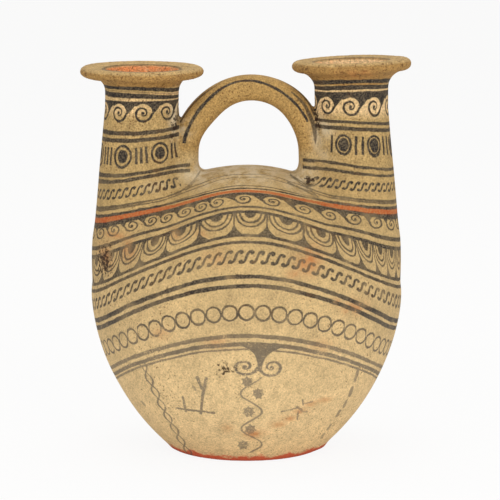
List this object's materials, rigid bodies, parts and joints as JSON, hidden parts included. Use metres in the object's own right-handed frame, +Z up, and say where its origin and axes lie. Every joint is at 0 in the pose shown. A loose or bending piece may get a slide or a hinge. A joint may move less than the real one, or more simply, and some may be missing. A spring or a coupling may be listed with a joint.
{
  "type": "askos vessel",
  "caption": "Double-necked ceramic askos: a swelling ovoid body on a small flat foot, tubular necks with wide flaring rims and an arched strap handle joining them over the saddle.",
  "frame": {"origin": "centre of the standing face, on the table", "axes": "+Z up, +X from the left neck to the right neck, the pictured front faces -Y"},
  "size_m": [0.236, 0.186, 0.2807],
  "materials": {
    "body_clay": "matt buff fired clay with dark and red painted ornament",
    "neck_clay": "matt buff fired clay with dark painted bands",
    "rim_clay": "matt buff fired clay, dark ring at the mouth",
    "handle_clay": "matt buff fired clay with dark painted edges"
  },
  "bodies": {
    "root": {"floor_disc": "body_clay", "lower_bowl": "body_clay", "shoulder": "body_clay", "neck_left": "neck_clay", "neck_right": "neck_clay", "rim_left": "rim_clay", "rim_right": "rim_clay", "handle": "handle_clay"}
  },
  "joints": []
}
